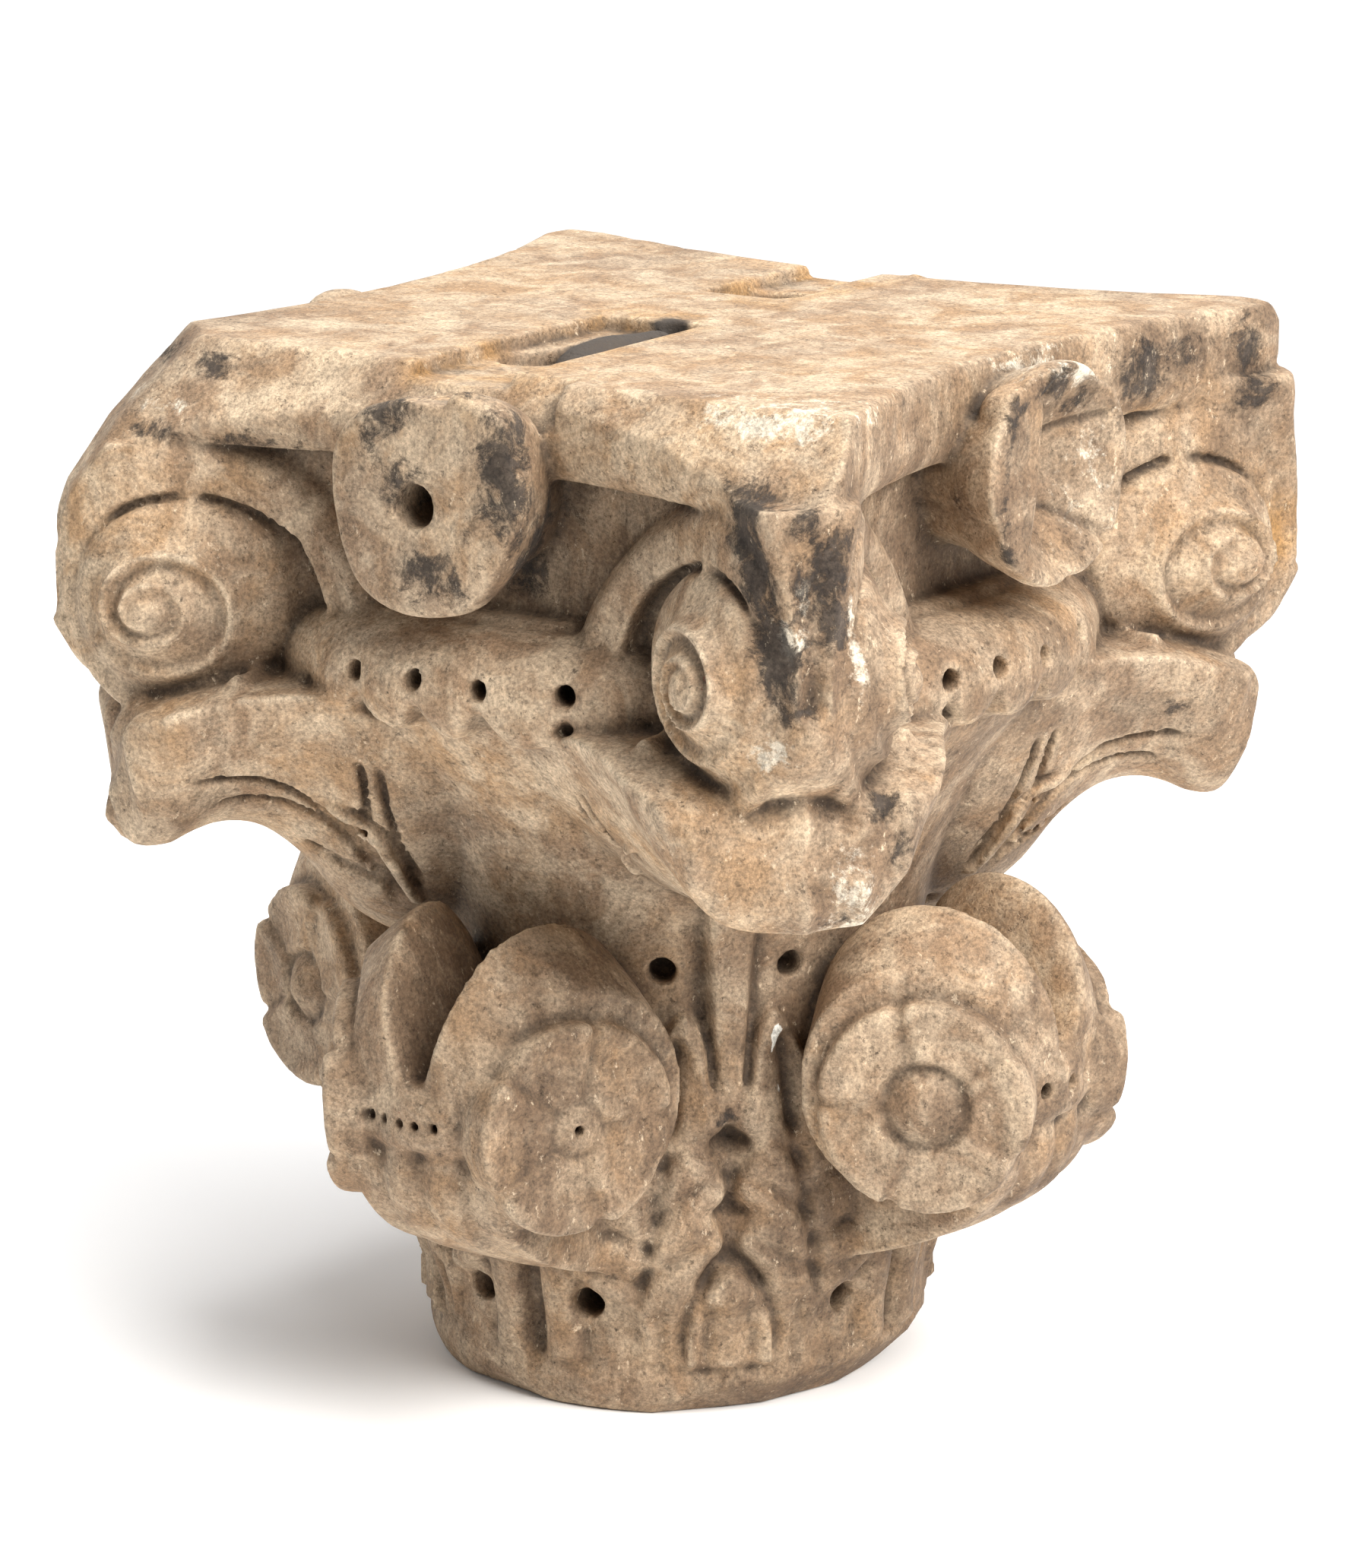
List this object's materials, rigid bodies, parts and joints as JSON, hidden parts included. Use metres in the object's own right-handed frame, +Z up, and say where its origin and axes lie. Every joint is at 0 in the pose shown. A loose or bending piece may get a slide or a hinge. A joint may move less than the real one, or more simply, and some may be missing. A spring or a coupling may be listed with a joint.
{
  "type": "corinthian capital",
  "caption": "Carved marble column capital with a round reeded neck, leafy bell, rosette scrolls, corner volutes and a square concave-sided abacus.",
  "frame": {"origin": "centre of the round lower bed, on the ground plane", "axes": "+Z up along the column axis, +X and -Y square to two neighbouring faces of the abacus, so the corner between them is the one that faces the viewer of the picture"},
  "size_m": [0.3802, 0.3802, 0.424],
  "materials": {
    "marble": "weathered, grainy, matt, warm tan with paler worn edges and dark crust"
  },
  "bodies": {
    "root": {"capital": "marble"}
  },
  "joints": []
}
